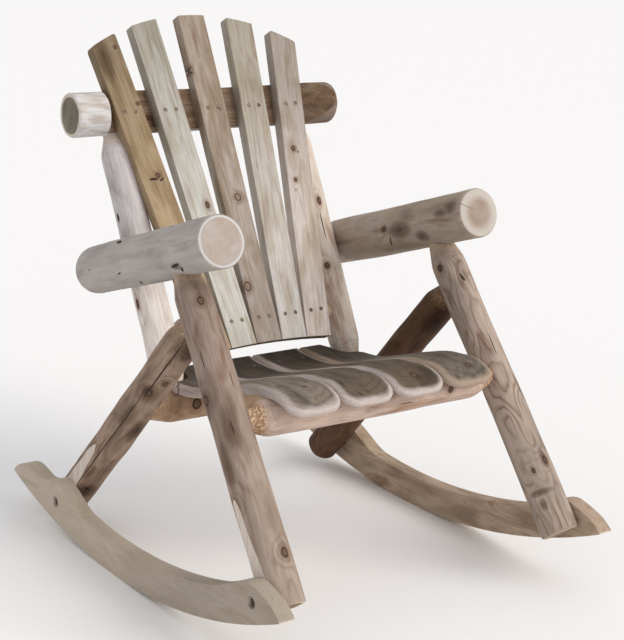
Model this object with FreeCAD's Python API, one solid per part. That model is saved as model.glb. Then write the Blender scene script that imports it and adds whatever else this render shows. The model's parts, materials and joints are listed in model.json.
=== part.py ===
import FreeCAD, Part
import math
import os

# A log rocking chair. Millimetres, +Z up, the sitter faces -Y and the sitter's left hand is at +X.
# The chair is laid out with the lowest point of the rocker curve at y = 0, z = 0. At the end it is
# rolled on its rockers until it balances, then moved so that the origin is under its middle.

# Rockers: two planks sawn to one long curve
rocker_radius = 1362.0
rocker_depth = 66.0
rocker_thickness = 33.0
half_track = 364.0
rocker_front_reach = 520.0
rocker_rear_reach = 541.0
front_hump_station = -430.0
rear_hump_station = 340.0

# Logs
front_leg_radius = 35.0
front_leg_foot_radius = 38.5
rear_leg_radius = 36.0
arm_radius = 50.0
post_radius = 34.0
front_rail_radius = 37.0
rear_rail_radius = 35.0
lower_rail_radius = 30.0
top_rail_radius = 45.5
log_edge_break = 4.0

# Side view of the frame
front_foot_ahead = 433.0
front_foot_rise = 15.5
front_leg_lean = 33.5
arm_joint_height = 664.5
arm_tilt = 14.3
arm_ahead_of_leg = 152.0
arm_behind_leg = 348.0
rear_foot_behind = 379.0
rear_foot_rise = 15.0
rear_leg_joint_height = 547.0
front_rail_height = 374.0
rear_rail_height = 319.0
recline = 24.1
top_rail_along_posts = 618.0
lower_rail_along_posts = 143.5
top_rail_half_length = 323.0
top_rail_forward = 18.8
top_screws_below_centre = 9.0

# Widths, all reckoned inward from the rockers' inner faces
leg_notch_depth = 7.0
arm_inset = 57.4
arm_housing_depth = 2.6

# Round tenons: a cone runs down to a neck, and a slightly thinner tenon goes into the drilled mortise
leg_tenon_radius = 23.0
rail_tenon_radius = 22.0
post_tenon_radius = 19.0
neck_step = 1.0
neck_stand_off = 1.0
mortise_clearance = 0.15
mortise_end_gap = 3.0
tenon_past_centre = 8.0
cope_gap = 0.3
leg_cone_length = 42.0
rail_cone_length = 40.0
post_cone_length = 38.0
lower_cone_length = 20.0

# Back slats, fanned out from a shared foot
slat_thickness = 26.0
slat_standoff = 25.0
slat_foot_width = 61.0
slat_head_width = 64.0
slat_foot_drop = 53.0
slat_foot_arc_radius = 1500.0
slat_crown_height = 676.5
slat_crown_radius = 520.0
slat_corner_radius = 8.0
slat_side_gap = 1.0
slat_fan = [(0.0, 0.0), (63.4, 4.5), (127.2, 8.2)]
rail_flat_half_length = 252.0

# Seat slats, scooped from front to back
seat_thickness = 19.0
seat_tip_thickness = 13.0
seat_slat_width = 120.0
seat_slat_gap = 3.0
seat_corner_radius = 34.0
seat_rear_overhang = 62.0
seat_front_overhang = 93.0
seat_bed_depth = 1.0
seat_corner_cut_width = 88.0
seat_corner_cut_length = 120.0
post_clearance = 3.0

# Fastenings
screw_head_radius = 4.0
screw_shank_radius = 2.0
screw_length = 45.0
screw_head_height = 2.6
screw_clearance = 0.1
slat_screw_spacing = 26.0
seat_screw_spacing = 60.0
outer_rear_screws = (14.0, 48.0)
bolt_shank_radius = 4.0
bolt_head_radius = 7.4
bolt_head_height = 5.5
washer_radius = 10.5
washer_thickness = 2.0
counterbore_radius = 11.5
counterbore_depth = 11.0
bolt_bite = 46.0
front_bolt = (-442.0, 39.0)
rear_bolt = (342.0, 45.0)
arm_bolt_head_sink = 10.0
arm_bolt_bite = 40.0

wood_density = 600.0
steel_density = 7850.0

Vector = FreeCAD.Vector
ACROSS = Vector(1, 0, 0)
UP = Vector(0, 0, 1)


def save(shape, name):
    shape.exportStep("parts/" + name + ".step")


def in_plane(y, z, x=0.0):
    return Vector(x, y, z)


def tilted(degrees_from_up):
    """A direction in the side view, leaning back from upright."""
    lean = math.radians(degrees_from_up)
    return Vector(0, math.sin(lean), math.cos(lean))


def place_along(shape, start, direction):
    shape.Placement = FreeCAD.Placement(start, FreeCAD.Rotation(UP, direction))
    return shape


def rod(start, direction, low, high, radius):
    """A round bar along a direction, from low to high past the start point."""
    unit = Vector(direction).normalize()
    return Part.makeCylinder(radius, high - low, start + unit * low, unit)


def turned(start, direction, stations):
    """A log turned about its own length from (distance, radius) stations."""
    corners = [Vector(0, 0, stations[0][0])]
    corners += [Vector(radius, 0, distance) for distance, radius in stations]
    corners += [Vector(0, 0, stations[-1][0]), corners[0]]
    half_section = Part.Face(Part.makePolygon(corners))
    solid = half_section.revolve(Vector(0, 0, 0), UP, 360)
    return place_along(solid, start, direction)


def plain_log(start, direction, low, high, radius):
    ends = [(low, radius - log_edge_break), (low + log_edge_break, radius)]
    ends += [(high - log_edge_break, radius), (high, radius - log_edge_break)]
    return turned(start, direction, ends)


def tenon(start, direction, receiver_radius, tenon_radius):
    """The round end that runs from just inside the neck to a little past the receiver's centre."""
    return rod(start, direction, -tenon_past_centre, receiver_radius + log_edge_break, tenon_radius)


def mortise(start, direction, receiver_radius, tenon_radius):
    blind_end = -tenon_past_centre - mortise_end_gap
    return rod(start, direction, blind_end, 2 * receiver_radius, tenon_radius + mortise_clearance)


def mirrored(shape):
    return shape.mirror(Vector(0, 0, 0), ACROSS)


def merge(first, *others):
    joined = first
    for other in others:
        joined = joined.fuse(other)
    return joined.removeSplitter()


def cut_all(shape, tools):
    for tool in tools:
        shape = shape.cut(tool)
    return shape


def group(solids):
    return Part.makeCompound(solids)


# ---- layout of the frame, on the sitter's left side (+X) ----

def rocker_point(station, rise, x=0.0):
    """A point at a distance along the rocker's bottom curve and a rise above it."""
    angle = station / rocker_radius
    reach = rocker_radius - rise
    return Vector(x, reach * math.sin(angle), rocker_radius - reach * math.cos(angle))


def curve_height(y):
    """Height of the rocker's bottom curve at a distance from its lowest point."""
    return rocker_radius - math.sqrt(rocker_radius ** 2 - y ** 2)


def along_to_height(start, direction, height):
    return start + direction * ((height - start.z) / direction.z)


arm_x = half_track - arm_inset
post_x = arm_x - arm_radius - post_radius + arm_housing_depth
front_foot = Vector(half_track + leg_notch_depth - front_leg_foot_radius, -front_foot_ahead,
                    curve_height(front_foot_ahead) + front_foot_rise)
side_leg_direction = tilted(front_leg_lean)
side_leg_top = along_to_height(in_plane(front_foot.y, front_foot.z), side_leg_direction, arm_joint_height)
arm_joint = Vector(arm_x, side_leg_top.y, side_leg_top.z)
front_leg_length = (arm_joint - front_foot).Length
front_leg_direction = (arm_joint - front_foot).normalize()
arm_direction = Vector(0, math.cos(math.radians(arm_tilt)), -math.sin(math.radians(arm_tilt)))

rear_foot = Vector(half_track + leg_notch_depth - rear_leg_radius, rear_foot_behind,
                   curve_height(rear_foot_behind) + rear_foot_rise)
leg_joint = along_to_height(front_foot, front_leg_direction, rear_leg_joint_height)
rear_leg_length = (leg_joint - rear_foot).Length
rear_leg_direction = (leg_joint - rear_foot).normalize()

front_rail_end = along_to_height(front_foot, front_leg_direction, front_rail_height)
rear_rail_end = along_to_height(rear_foot, rear_leg_direction, rear_rail_height)
post_direction = tilted(recline)
post_foot = Vector(post_x, rear_rail_end.y, rear_rail_end.z)
post_forward = Vector(0, -math.cos(math.radians(recline)), math.sin(math.radians(recline)))
post_head = post_foot + post_direction * top_rail_along_posts
lower_rail_end = post_foot + post_direction * lower_rail_along_posts
top_rail_centre = Vector(0, post_head.y, post_head.z) + post_forward * top_rail_forward
arm_at_post = arm_joint + arm_direction * ((post_foot - arm_joint).cross(post_direction).x
                                           / arm_direction.cross(post_direction).x)

slat_front = slat_standoff + slat_thickness
back_origin = Vector(0, lower_rail_end.y, lower_rail_end.z) + post_forward * slat_front
back_frame = FreeCAD.Placement(back_origin, FreeCAD.Rotation(ACROSS, -recline))
head_row = top_rail_along_posts - lower_rail_along_posts - top_screws_below_centre


# ---- fastenings ----

def countersunk(head, direction, extra, length):
    """A screw with a flat cone head, its face at the head point."""
    stations = [(0.0, screw_head_radius + extra), (screw_head_height, screw_shank_radius + extra)]
    stations += [(length + extra, screw_shank_radius + extra)]
    return turned(head, direction, stations)


def slat_centre(row, fan):
    """Sideways place of a back slat's centre line at a height above the lower screw row."""
    foot, lean = fan
    return foot + (row + slat_foot_drop) * math.tan(math.radians(lean))


def fan_slats():
    """The slats from the sitter's right to left: offset at the foot and lean of each."""
    right_side = [(-foot, -lean) for foot, lean in reversed(slat_fan[1:])]
    return right_side + slat_fan


def slat_screw_places():
    places = []
    for fan in fan_slats():
        for row in (0.0, head_row):
            for side in (-0.5, 0.5):
                across = slat_centre(row, fan) + side * slat_screw_spacing
                places.append(back_frame.multVec(Vector(across, 0, row)))
    return places


def seat_line(y):
    """Height of the seat's upper face, from the points it runs through."""
    points = seat_points()
    for first, second in zip(points, points[1:]):
        if first.y <= y <= second.y:
            share = (y - first.y) / (second.y - first.y)
            return first.z + share * (second.z - first.z)
    return points[-1].z


def seat_slat_sides():
    pitch = seat_slat_width + seat_slat_gap
    lows = [(count - 2) * pitch + seat_slat_gap / 2 for count in range(4)]
    return [(low, low + seat_slat_width) for low in lows]


def seat_screw_places():
    """Two screws at each rail. At the rear the outer slats' screws sit inboard, clear of the posts."""
    places = []
    for low, high in seat_slat_sides():
        middle = (low + high) / 2
        inner_edge = min(low, high, key=abs)
        outward = math.copysign(1, middle)
        even = [middle - seat_screw_spacing / 2, middle + seat_screw_spacing / 2]
        inboard = [inner_edge + outward * inset for inset in outer_rear_screws]
        outer = abs(middle) > seat_slat_width
        places += [Vector(across, front_rail_end.y, seat_line(front_rail_end.y)) for across in even]
        places += [Vector(across, rear_rail_end.y, seat_line(rear_rail_end.y))
                   for across in (inboard if outer else even)]
    return places


def all_screws(places, direction, extra):
    return [countersunk(place, direction, extra, screw_length) for place in places]


def rocker_bolt_places():
    face_x = half_track + rocker_thickness
    return [rocker_point(station, rise, face_x) for station, rise in (front_bolt, rear_bolt)]


def hex_bolt(seat, direction, length):
    head_face = [Vector(bolt_head_radius * math.cos(math.radians(60 * turn)),
                        bolt_head_radius * math.sin(math.radians(60 * turn)), 0) for turn in range(7)]
    head = Part.Face(Part.makePolygon(head_face)).extrude(Vector(0, 0, -bolt_head_height))
    shank = Part.makeCylinder(bolt_shank_radius, length)
    return place_along(merge(head, shank), seat, direction)


def washer(seat, direction):
    ring = rod(seat, direction, -washer_thickness, 0.0, washer_radius)
    return ring.cut(rod(seat, direction, -washer_thickness, 0.0, bolt_shank_radius + screw_clearance))


def rocker_bolts():
    bolts = []
    for place in rocker_bolt_places():
        seat = place - ACROSS * (counterbore_depth - washer_thickness)
        length = rocker_thickness - counterbore_depth + washer_thickness + bolt_bite
        bolt = hex_bolt(seat, -ACROSS, length)
        bolts += [bolt, mirrored(bolt)]
    return bolts


def rocker_washers():
    rings = []
    for place in rocker_bolt_places():
        ring = washer(place - ACROSS * counterbore_depth, -ACROSS)
        rings += [ring, mirrored(ring)]
    return rings


def rocker_bolt_holes():
    holes = []
    reach = rocker_thickness + bolt_bite + mortise_end_gap
    for place in rocker_bolt_places():
        holes.append(rod(place, -ACROSS, 0.0, counterbore_depth, counterbore_radius))
        holes.append(rod(place, -ACROSS, 0.0, reach, bolt_shank_radius + screw_clearance))
    return holes


def arm_bolt_seat():
    inner_x = post_x - post_radius + arm_bolt_head_sink
    return Vector(inner_x, arm_at_post.y, arm_at_post.z)


def arm_bolt_length():
    return arm_x - arm_radius - arm_bolt_seat().x + arm_bolt_bite


def arm_bolt_holes():
    seat = arm_bolt_seat()
    reach = arm_bolt_length() + mortise_end_gap
    well = rod(seat, ACROSS, -post_radius, 0.0, counterbore_radius)
    return [well, rod(seat, ACROSS, 0.0, reach, bolt_shank_radius + screw_clearance)]


# ---- wooden pieces ----

def front_leg_taper_length():
    return front_leg_length - arm_radius - leg_cone_length


def front_leg_radius_at(point):
    """The front leg is thickest at its foot."""
    share = (point - front_foot).Length / front_leg_taper_length()
    return front_leg_foot_radius + (front_leg_radius - front_leg_foot_radius) * share


def rocker():
    """One plank: a true arc below, a parallel arc above, a hump at each leg and shaped ends."""
    hump_front = [(-90.0, 0.0), (-88.6, 0.09), (-78.0, 0.39), (-64.5, 0.61), (-43.0, 0.88), (-21.0, 1.1),
                  (0.0, 1.165), (29.0, 1.14), (74.0, 1.05), (104.0, 1.008), (124.0, 1.0)]
    hump_rear = [(-130.0, 1.0), (-112.0, 1.008), (-93.0, 1.06), (-55.0, 1.23), (-20.0, 1.37), (0.0, 1.4),
                 (25.0, 1.3), (50.0, 1.06), (78.0, 0.9), (100.0, 0.89), (140.0, 0.82), (168.0, 0.62),
                 (188.0, 0.34), (199.0, 0.08), (201.0, 0.0)]
    front_scale = (rocker_front_reach + front_hump_station) / 90.0
    rear_scale = (rocker_rear_reach - rear_hump_station) / 201.0
    front = [rocker_point(front_hump_station + along * (front_scale if along < 0 else 1.0),
                          rise * rocker_depth, half_track) for along, rise in hump_front]
    rear = [rocker_point(rear_hump_station + along * (rear_scale if along > 0 else 1.0),
                         rise * rocker_depth, half_track) for along, rise in hump_rear]
    bottom = Part.Arc(rear[-1], rocker_point(0, 0, half_track), front[0])
    top = Part.Arc(front[-1], rocker_point(0, rocker_depth, half_track), rear[0])
    front_curve = Part.BSplineCurve()
    front_curve.interpolate(front)
    rear_curve = Part.BSplineCurve()
    rear_curve.interpolate(rear)
    edges = [bottom.toShape(), front_curve.toShape(), top.toShape(), rear_curve.toShape()]
    plank = Part.Face(Part.Wire(edges)).extrude(ACROSS * rocker_thickness)
    return cut_all(plank, rocker_bolt_holes())


def notch_slab():
    """Everything outside the rocker's inner face, low down, that a leg has to give way to."""
    span = rocker_front_reach + rocker_rear_reach
    return Part.makeBox(2 * front_leg_radius, 2 * span, rear_rail_height, Vector(half_track, -span, 0))


def front_leg():
    length = front_leg_length
    stations = [(0.0, front_leg_foot_radius - log_edge_break), (log_edge_break, front_leg_foot_radius)]
    neck = leg_tenon_radius + neck_step
    stations += [(front_leg_taper_length(), front_leg_radius), (length - arm_radius, neck), (length, neck)]
    log = turned(front_foot, front_leg_direction, stations)
    log = log.cut(rod(arm_joint, arm_direction, -arm_ahead_of_leg, arm_behind_leg, arm_radius + cope_gap))
    log = merge(log, tenon(arm_joint, -front_leg_direction, arm_radius, leg_tenon_radius))
    log = log.cut(notch_slab())
    rail_mortise = mortise(front_rail_end, -ACROSS, front_leg_foot_radius, rail_tenon_radius)
    brace_mortise = mortise(leg_joint, -rear_leg_direction, front_leg_foot_radius, leg_tenon_radius)
    return cut_all(log, [rail_mortise, brace_mortise] + rocker_bolt_holes())


def rear_leg():
    length = rear_leg_length
    stations = [(0.0, rear_leg_radius - log_edge_break), (log_edge_break, rear_leg_radius)]
    neck_start = length - front_leg_radius_at(leg_joint)
    neck = leg_tenon_radius + neck_step
    stations += [(neck_start - leg_cone_length, rear_leg_radius), (neck_start, neck), (length, neck)]
    log = turned(rear_foot, rear_leg_direction, stations)
    cope = [(0.0, front_leg_foot_radius + cope_gap), (front_leg_taper_length(), front_leg_radius + cope_gap)]
    log = log.cut(turned(front_foot, front_leg_direction, cope))
    log = merge(log, tenon(leg_joint, -rear_leg_direction, length - neck_start, leg_tenon_radius))
    log = log.cut(notch_slab())
    rail_mortise = mortise(rear_rail_end, -ACROSS, rear_leg_radius, rail_tenon_radius)
    return cut_all(log, [rail_mortise] + rocker_bolt_holes())


def arm():
    log = plain_log(arm_joint, arm_direction, -arm_ahead_of_leg, arm_behind_leg, arm_radius)
    leg_mortise = mortise(arm_joint, -front_leg_direction, arm_radius, leg_tenon_radius)
    return cut_all(log, [leg_mortise] + arm_bolt_holes())


def post():
    length = top_rail_along_posts
    foot_neck = rail_tenon_radius + neck_step
    head_neck = post_tenon_radius + neck_step
    head_reach = length - top_rail_radius
    stations = [(0.0, foot_neck), (rear_rail_radius, foot_neck)]
    stations += [(rear_rail_radius + post_cone_length, post_radius)]
    stations += [(head_reach - post_cone_length, post_radius), (head_reach, head_neck), (length, head_neck)]
    log = turned(post_foot, post_direction, stations)
    top_axis = Vector(post_x, top_rail_centre.y, top_rail_centre.z)
    log = log.cut(rod(top_axis, ACROSS, -top_rail_half_length, top_rail_half_length,
                      top_rail_radius + cope_gap))
    log = log.cut(rod(post_foot, ACROSS, -top_rail_half_length, top_rail_half_length,
                      rear_rail_radius + cope_gap))
    log = merge(log, tenon(post_foot, post_direction, rear_rail_radius, rail_tenon_radius),
                tenon(post_head, -post_direction, top_rail_radius, post_tenon_radius))
    hollow = rod(arm_joint, arm_direction, -arm_ahead_of_leg, arm_behind_leg, arm_radius + cope_gap)
    lower_mortise = mortise(lower_rail_end, -ACROSS, post_radius, post_tenon_radius)
    tools = [hollow, lower_mortise, slat_blank(slat_fan[-1], slat_side_gap, post_radius)] + arm_bolt_holes()
    return cut_all(log, tools + all_screws(slat_screw_places(), -post_forward, screw_clearance))


def seat_bed():
    """The space the seat slats take up, cut from both seat rails so that the slats bed flat."""
    half_width = 2 * (seat_slat_width + seat_slat_gap)
    upper = [point + UP * seat_thickness for point in seat_points()]
    return slab_between(seat_under_points(), upper, -half_width, half_width)


def seat_rail(end, radius, receiver_radius):
    """A log across the chair with a coned tenon at each end."""
    neck = rail_tenon_radius + neck_step
    reach = receiver_radius + neck_stand_off
    near = [(-tenon_past_centre, rail_tenon_radius), (reach, rail_tenon_radius), (reach, neck)]
    near += [(reach + rail_cone_length, radius)]
    far = [(2 * end.x - distance, size) for distance, size in reversed(near)]
    return turned(end, -ACROSS, near + far)


def front_rail():
    log = seat_rail(front_rail_end, front_rail_radius, front_leg_radius_at(front_rail_end))
    return cut_all(log, [seat_bed()] + all_screws(seat_screw_places(), -UP, screw_clearance))


def rear_rail():
    log = seat_rail(rear_rail_end, rear_rail_radius, rear_leg_radius)
    post_mortise = mortise(post_foot, post_direction, rear_rail_radius, rail_tenon_radius)
    tools = [seat_bed(), post_mortise, mirrored(post_mortise)]
    return cut_all(log, tools + all_screws(seat_screw_places(), -UP, screw_clearance))


def rail_flat():
    """Everything in front of the slats' rear faces, between the ends of the flat."""
    depth = 2 * top_rail_radius
    flat = Part.makeBox(2 * rail_flat_half_length, depth, 2 * (head_row + depth),
                        Vector(-rail_flat_half_length, slat_thickness - depth, -head_row / 2))
    flat.Placement = back_frame
    return flat


def lower_rail():
    neck = post_tenon_radius + neck_step
    reach = post_radius + neck_stand_off
    near = [(-tenon_past_centre, post_tenon_radius), (reach, post_tenon_radius), (reach, neck)]
    near += [(reach + lower_cone_length, lower_rail_radius)]
    far = [(2 * lower_rail_end.x - distance, size) for distance, size in reversed(near)]
    log = turned(lower_rail_end, -ACROSS, near + far)
    return cut_all(log, [rail_flat()] + all_screws(slat_screw_places(), -post_forward, screw_clearance))


def top_rail():
    log = plain_log(top_rail_centre, ACROSS, -top_rail_half_length, top_rail_half_length, top_rail_radius)
    post_mortise = mortise(post_head, -post_direction, top_rail_radius, post_tenon_radius)
    tools = [rail_flat(), post_mortise, mirrored(post_mortise)]
    return cut_all(log, tools + all_screws(slat_screw_places(), -post_forward, screw_clearance))


def slat_blank(fan, gap=0.0, front_room=0.0):
    """A straight tapered board leaning out from the foot of the fan."""
    foot, lean = fan
    length = slat_crown_height + slat_foot_drop + slat_foot_width
    low = -slat_foot_width
    widen = (slat_head_width - slat_foot_width) / 2 / (slat_crown_height + slat_foot_drop)
    foot_half = slat_foot_width / 2 + widen * low + gap
    head_half = slat_foot_width / 2 + widen * length + gap
    corners = [Vector(-foot_half, 0, low), Vector(foot_half, 0, low), Vector(head_half, 0, length),
               Vector(-head_half, 0, length), Vector(-foot_half, 0, low)]
    board = Part.Face(Part.makePolygon(corners)).extrude(Vector(0, slat_thickness + gap + front_room, 0))
    board.translate(Vector(0, -front_room, 0))
    board.rotate(Vector(0, 0, 0), Vector(0, 1, 0), lean)
    board.translate(Vector(foot, 0, -slat_foot_drop))
    board.Placement = back_frame.multiply(board.Placement)
    return board


def back_slat(fan):
    """A board trimmed to the arched top and the shallow arch at the foot, with eased top corners."""
    board = slat_blank(fan)
    axis = back_frame.Rotation.multVec(Vector(0, 1, 0))
    crown_centre = back_frame.multVec(Vector(0, 0, slat_crown_height - slat_crown_radius))
    foot_centre = back_frame.multVec(Vector(0, 0, -slat_foot_drop - slat_foot_arc_radius))
    board = board.common(rod(crown_centre, axis, -slat_thickness, 2 * slat_thickness, slat_crown_radius))
    board = board.cut(rod(foot_centre, axis, -slat_thickness, 2 * slat_thickness, slat_foot_arc_radius))
    board = board.makeFillet(slat_corner_radius, top_corner_edges(board, axis))
    return cut_all(board, all_screws(slat_screw_places(), -post_forward, screw_clearance))


def top_corner_edges(board, axis):
    chosen = []
    for edge in board.Edges:
        first, last = edge.Vertexes[0].Point, edge.Vertexes[-1].Point
        along = last - first
        if along.Length > 0 and along.normalize().cross(axis).Length < 0.01:
            if first.z > top_rail_centre.z:
                chosen.append(edge)
    return chosen


def seat_points():
    """The seat's upper face in side view, front tip first: a bullnose, a crest over the front rail,
    a long hollow and a small rise behind the rear rail."""
    front_top = front_rail_end.z + front_rail_radius - seat_bed_depth + seat_thickness
    rear_top = rear_rail_end.z + rear_rail_radius - seat_bed_depth + seat_thickness
    depth = rear_rail_end.y - front_rail_end.y
    nose = [(1.0, -31.0), (0.83, -19.5), (0.68, -10.8), (0.52, -4.2), (0.34, -0.5), (0.16, 1.0)]
    hollow = [(0.0, 0.0), (0.125, 5.0), (0.29, 2.0), (0.44, -3.0), (0.6, -9.0), (0.74, -13.0),
              (0.87, -9.5), (1.0, 0.0)]
    tail = [(0.5, 3.0), (1.0, 10.0)]
    points = [in_plane(front_rail_end.y - seat_front_overhang * reach, front_top + rise)
              for reach, rise in nose]
    points += [in_plane(front_rail_end.y + depth * share, front_top + (rear_top - front_top) * share + rise)
               for share, rise in hollow]
    points += [in_plane(rear_rail_end.y + seat_rear_overhang * reach, rear_top + rise)
               for reach, rise in tail]
    return points


def seat_under_points():
    """The underside: the upper face set in by the thickness, thinner towards the front tip."""
    top = seat_points()
    under = []
    for count, point in enumerate(top):
        before = top[max(count - 1, 0)]
        after = top[min(count + 1, len(top) - 1)]
        run = (after - before).normalize()
        inward = Vector(0, run.z, -run.y)
        ahead = (front_rail_end.y - point.y) / seat_front_overhang
        thin = max(ahead, 0.0) * (seat_thickness - seat_tip_thickness)
        under.append(point + inward * (seat_thickness - thin))
    return under


def slab_between(lower, upper, low, high):
    """A board with curved faces: the space between two side-view curves, from low to high across."""
    shift = ACROSS * low
    under, over = Part.BSplineCurve(), Part.BSplineCurve()
    under.interpolate([point + shift for point in lower])
    over.interpolate([point + shift for point in upper])
    front = Part.LineSegment(lower[0] + shift, upper[0] + shift)
    rear = Part.LineSegment(lower[-1] + shift, upper[-1] + shift)
    edges = [under.toShape(), rear.toShape(), over.toShape(), front.toShape()]
    face = Part.Face(Part.Wire(Part.__sortEdges__(edges)))
    return face.extrude(ACROSS * (high - low))


def seat_outline(low, high):
    """The slat seen from above, with rounded front corners."""
    front_y = front_rail_end.y - seat_front_overhang
    rear_y = rear_rail_end.y + seat_rear_overhang
    tall = front_rail_height + rear_rail_height
    block = Part.makeBox(high - low, rear_y - front_y + seat_thickness, tall, Vector(low, front_y, 0))
    corners = [edge for edge in block.Edges
               if abs(edge.Vertexes[0].Point.y - front_y) < 0.01
               and abs(edge.Vertexes[1].Point.y - front_y) < 0.01
               and abs(edge.Vertexes[0].Point.x - edge.Vertexes[1].Point.x) < 0.01]
    return block.makeFillet(seat_corner_radius, corners)


def rear_corner_cut():
    """A wedge that takes the rear outer corner off an outer slat, so that it clears the post."""
    outer = 2 * (seat_slat_width + seat_slat_gap)
    rear_y = rear_rail_end.y + seat_rear_overhang + seat_thickness
    corners = [Vector(outer - seat_corner_cut_width, rear_y, 0), Vector(outer, rear_y, 0),
               Vector(outer, rear_y - seat_corner_cut_length, 0)]
    wedge = Part.Face(Part.makePolygon(corners + corners[:1]))
    return wedge.extrude(UP * (front_rail_height + rear_rail_height))


def seat_slat(low, high):
    board = slab_between(seat_under_points(), seat_points(), low, high)
    board = board.common(seat_outline(low, high))
    wedge = rear_corner_cut()
    post_room = rod(post_foot, post_direction, 0.0, lower_rail_along_posts, post_radius + post_clearance)
    tools = [wedge, mirrored(wedge), post_room, mirrored(post_room)]
    return cut_all(board, tools + all_screws(seat_screw_places(), -UP, screw_clearance))


# ---- the whole chair ----

def pieces():
    wood = {}
    for name, shape in (("rocker", rocker()), ("front_leg", front_leg()), ("rear_leg", rear_leg()),
                        ("arm", arm()), ("back_post", post())):
        wood["left_" + name] = shape
        wood["right_" + name] = mirrored(shape)
    wood["front_seat_rail"] = front_rail()
    wood["rear_seat_rail"] = rear_rail()
    wood["lower_back_rail"] = lower_rail()
    wood["top_back_rail"] = top_rail()
    slat_names = ("far_right", "right", "centre", "left", "far_left")
    for name, fan in zip(slat_names, fan_slats()):
        wood["back_slat_" + name] = back_slat(fan)
    seat_names = ("far_right", "right", "left", "far_left")
    for name, (low, high) in zip(seat_names, seat_slat_sides()):
        wood["seat_slat_" + name] = seat_slat(low, high)
    arm_bolt = hex_bolt(arm_bolt_seat(), ACROSS, arm_bolt_length())
    steel = {
        "rocker_bolts": group(rocker_bolts()),
        "rocker_washers": group(rocker_washers()),
        "arm_bolts": group([arm_bolt, mirrored(arm_bolt)]),
        "back_slat_screws": group(all_screws(slat_screw_places(), -post_forward, 0.0)),
        "seat_slat_screws": group(all_screws(seat_screw_places(), -UP, 0.0)),
    }
    return wood, steel


def centre_of_mass(wood, steel):
    moment, mass = Vector(0, 0, 0), 0.0
    for shapes, density in ((wood, wood_density), (steel, steel_density)):
        for shape in shapes.values():
            for solid in shape.Solids:
                weight = solid.Volume * density
                moment = moment + solid.CenterOfMass * weight
                mass += weight
    return moment / mass


def roll_to_balance(wood, steel):
    """The turn about the rockers' centre that brings the centre of mass over the contact point."""
    centre = centre_of_mass(wood, steel)
    roll = -math.degrees(math.atan2(centre.y, rocker_radius - centre.z))
    return FreeCAD.Placement(Vector(0, 0, 0), FreeCAD.Rotation(ACROSS, roll), Vector(0, 0, rocker_radius))


def moved(shape, placement):
    copy = shape.copy()
    copy.Placement = placement.multiply(copy.Placement)
    return copy


def main():
    wood, steel = pieces()
    roll = roll_to_balance(wood, steel)
    box = moved(wood["left_rocker"], roll).optimalBoundingBox()
    middle = FreeCAD.Placement(Vector(0, -(box.YMin + box.YMax) / 2, 0), FreeCAD.Rotation())
    os.makedirs("parts", exist_ok=True)
    for name, shape in list(wood.items()) + list(steel.items()):
        save(moved(shape, middle.multiply(roll)), name)


main()
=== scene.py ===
import json
import math

import bmesh
import bpy
from mathutils import Matrix, Vector


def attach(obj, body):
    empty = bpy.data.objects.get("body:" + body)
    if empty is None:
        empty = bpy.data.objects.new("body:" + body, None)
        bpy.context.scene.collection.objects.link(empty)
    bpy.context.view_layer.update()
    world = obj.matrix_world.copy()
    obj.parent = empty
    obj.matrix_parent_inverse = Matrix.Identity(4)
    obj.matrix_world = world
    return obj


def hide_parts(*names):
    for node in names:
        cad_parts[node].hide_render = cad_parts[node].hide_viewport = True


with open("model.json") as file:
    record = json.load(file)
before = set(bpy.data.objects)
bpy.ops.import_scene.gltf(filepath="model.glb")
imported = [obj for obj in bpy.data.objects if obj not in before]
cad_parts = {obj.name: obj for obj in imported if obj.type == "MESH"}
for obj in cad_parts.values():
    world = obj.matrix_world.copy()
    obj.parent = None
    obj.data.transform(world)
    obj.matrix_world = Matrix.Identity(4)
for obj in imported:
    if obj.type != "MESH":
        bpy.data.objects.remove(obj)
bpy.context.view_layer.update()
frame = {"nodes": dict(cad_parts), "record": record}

# ---- layout, repeated from the part's source, in metres ----
# It is laid out with the lowest point of the rocker curve at the origin, then the chair is rolled
# on its rockers until it balances and moved over the middle of its plan.

ROCKER_RADIUS = 1.362
ROCKER_DEPTH = 0.066
ROCKER_THICKNESS = 0.033
HALF_TRACK = 0.364
RECLINE = math.radians(24.1)
MOUNTS = {mount["name"]: mount for mount in frame["record"]["mounts"]}
PLAN_SHIFT = MOUNTS["floor_contact"]["pos_m"][1]
_, back_y, back_z = MOUNTS["back_surface"]["axis"]
BALANCE_ROLL = RECLINE - math.atan2(back_z, -back_y)
TO_ROW = (Matrix.Translation((0, PLAN_SHIFT, ROCKER_RADIUS)) @ Matrix.Rotation(BALANCE_ROLL, 4, "X")
          @ Matrix.Translation((0, 0, -ROCKER_RADIUS)))

ACROSS = Vector((1, 0, 0))
AHEAD = Vector((0, -1, 0))
FRONT_FOOT = Vector((0.3325, -0.433, 0.0861))
ARM_JOINT = Vector((0.3066, -0.0502, 0.6645))
REAR_FOOT = Vector((0.335, 0.379, 0.0688))
LEG_JOINT = Vector((0.3119, -0.1279, 0.547))
FRONT_RAIL = Vector((0, -0.2424, 0.374))
REAR_RAIL = Vector((0, 0.1138, 0.319))
LOWER_RAIL = Vector((0, 0.1724, 0.450))
TOP_RAIL = Vector((0, 0.3489, 0.8908))
POST_FOOT = Vector((0.2252, 0.1138, 0.319))
ARM_TILT = math.radians(14.3)
ARM_AXIS = Vector((0, math.cos(ARM_TILT), -math.sin(ARM_TILT)))
UP_THE_BACK = Vector((0, math.sin(RECLINE), math.cos(RECLINE)))
OUT_OF_BACK = Vector((0, -math.cos(RECLINE), math.sin(RECLINE)))
BACK_ORIGIN = LOWER_RAIL + OUT_OF_BACK * 0.0510

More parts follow.
